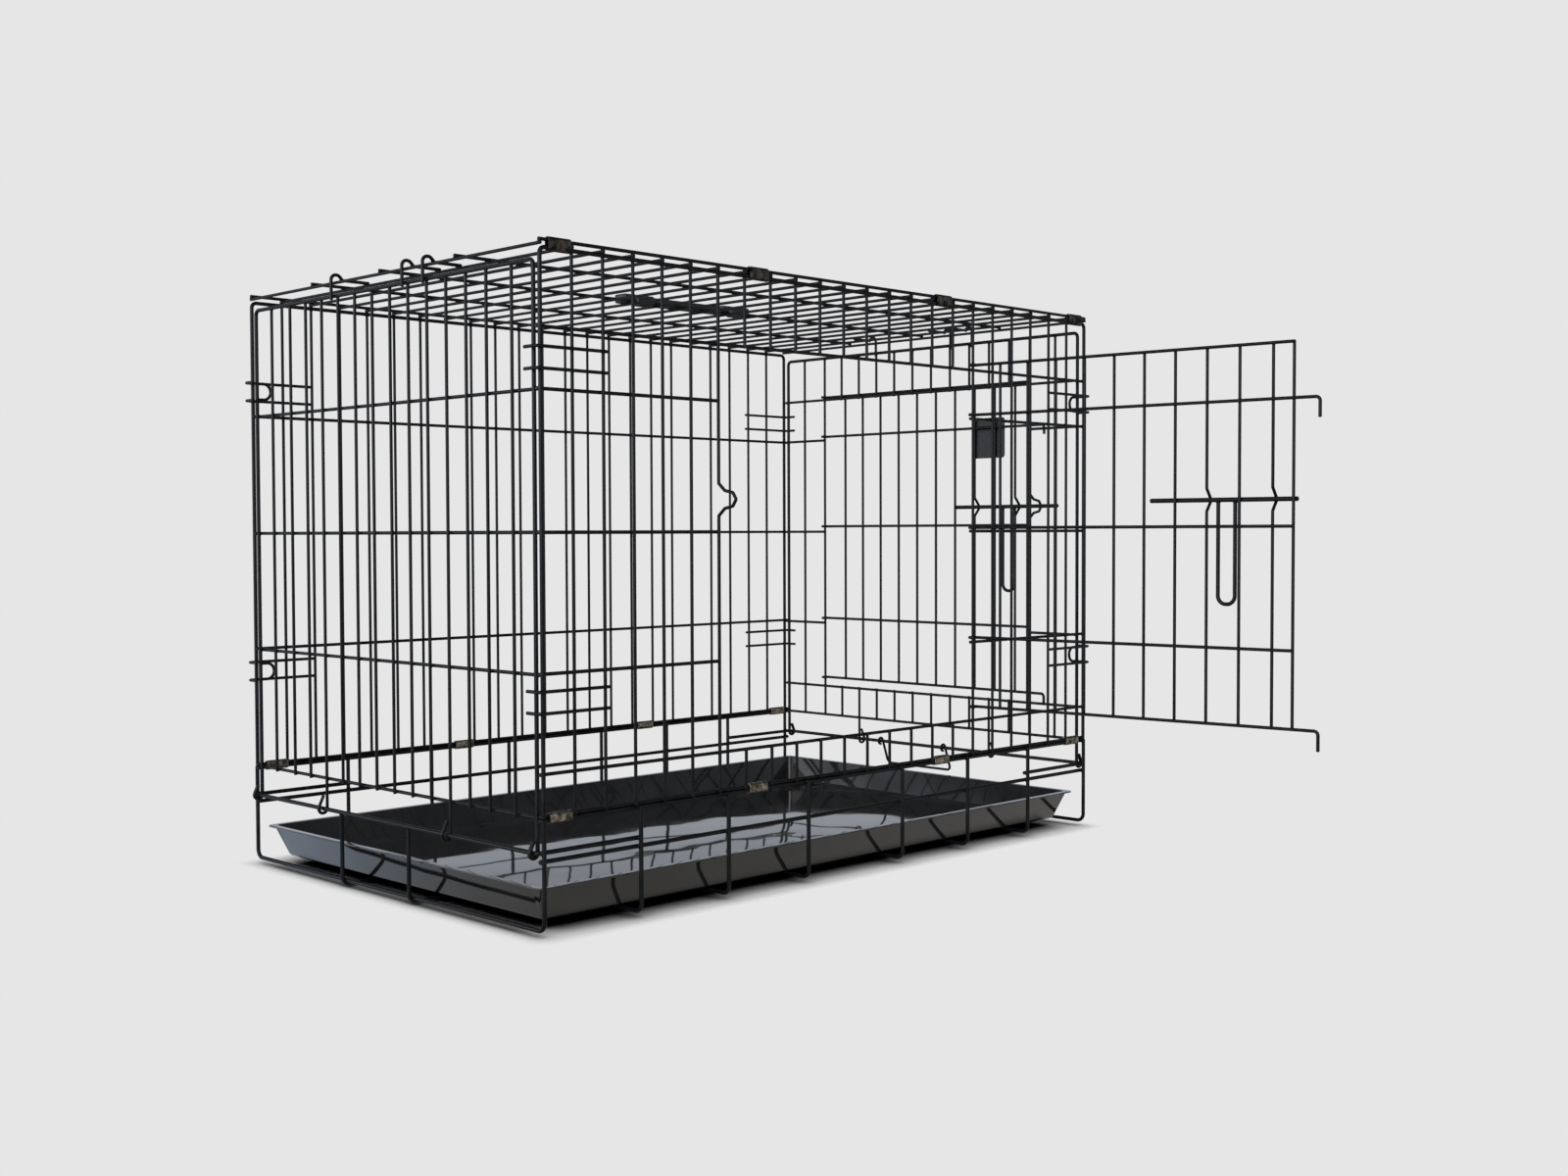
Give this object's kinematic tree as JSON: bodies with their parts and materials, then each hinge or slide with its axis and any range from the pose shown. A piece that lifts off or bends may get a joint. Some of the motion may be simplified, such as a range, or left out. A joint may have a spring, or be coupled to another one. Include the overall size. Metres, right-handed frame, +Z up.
{
  "type": "folding wire pet crate",
  "caption": "Folding black wire pet crate with an open side door, a bolted front door, a slide-out plastic tray and a carry handle.",
  "frame": {"origin": "middle of the footprint on the floor", "axes": "+X along the crate towards the end with the door, +Y from the near side with the open door to the far side, +Z up"},
  "size_m": [0.7975, 0.8563, 0.5846],
  "materials": {
    "wire": "black electro-coat, semi-gloss",
    "clip": "pale zinc-plated sheet",
    "tray": "dark grey moulded plastic, satin",
    "handle": "black moulded plastic, satin",
    "plate": "black coated sheet, blank"
  },
  "bodies": {
    "crate": {"base_cross_wires": "wire", "base_top_rails": "wire", "base_mid_rails": "wire", "base_end_wires": "wire", "floor_runners": "wire", "near_frame": "wire", "near_bars": "wire", "near_rails": "wire", "near_catches": "wire", "side_bolt_keeper": "wire", "far_frame": "wire", "far_bars": "wire", "far_rails": "wire", "far_catches": "wire", "near_lower_clips": "clip", "near_upper_clips": "clip", "far_lower_clips": "clip", "top_cross_wires": "wire", "top_long_wires": "wire", "top_hooks": "wire"},
    "left_end": {"left_end_frame": "wire", "left_end_bars": "wire", "left_end_rails": "wire", "left_end_loops": "wire"},
    "right_end": {"right_end_frame": "wire", "right_end_bars": "wire", "right_end_rails": "wire", "right_end_loops": "wire", "front_bolt_keeper": "wire"},
    "front_door": {"front_door_rails": "wire", "front_door_bars": "wire", "front_door_guides": "wire", "front_door_plate": "plate"},
    "front_latch": {"front_bolt": "wire", "front_bolt_handle": "wire"},
    "side_door": {"side_door_rails": "wire", "side_door_bars": "wire", "side_door_guides": "wire"},
    "side_latch": {"side_bolt": "wire", "side_bolt_handle": "wire"},
    "sliding_tray": {"tray": "tray"},
    "stop": {"tray_stop": "wire"},
    "handle": {"carry_handle": "handle"}
  },
  "joints": [
    {"name": "left_end_fold", "type": "hinge", "parent": "crate", "child": "left_end", "pos_m": [-0.3853, 0, 0.071], "axis": [0, 1, 0], "range_deg": [0, 90]},
    {"name": "right_end_fold", "type": "hinge", "parent": "crate", "child": "right_end", "pos_m": [0.3853, 0, 0.071], "axis": [0, -1, 0], "range_deg": [0, 84.5]},
    {"name": "front_door_swing", "type": "hinge", "parent": "right_end", "child": "front_door", "pos_m": [0.3807, 0.1639, 0.3], "axis": [0, 0, -1], "range_deg": [-160, 0]},
    {"name": "front_bolt_slide", "type": "slide", "parent": "front_door", "child": "front_latch", "axis": [0, 1, 0], "range_m": [0, 0.035]},
    {"name": "side_door_swing", "type": "hinge", "parent": "crate", "child": "side_door", "pos_m": [0.18227, -0.2387, 0.3], "axis": [0, 0, 1], "range_deg": [-95.5, 66]},
    {"name": "side_bolt_slide", "type": "slide", "parent": "side_door", "child": "side_latch", "axis": [0.0958, -0.9954, 0], "range_m": [0, 0.035]},
    {"name": "tray_slide", "type": "slide", "parent": "crate", "child": "sliding_tray", "axis": [1, 0, 0], "range_m": [0, 0.65]},
    {"name": "tray_stop_swing", "type": "hinge", "parent": "crate", "child": "stop", "pos_m": [0.3853, 0, 0.071], "axis": [0, -1, 0], "range_deg": [0, 110]},
    {"name": "handle_lift", "type": "hinge", "parent": "crate", "child": "handle", "pos_m": [0, 0, 0.5754], "axis": [1, 0, 0], "range_deg": [0, 90]}
  ]
}
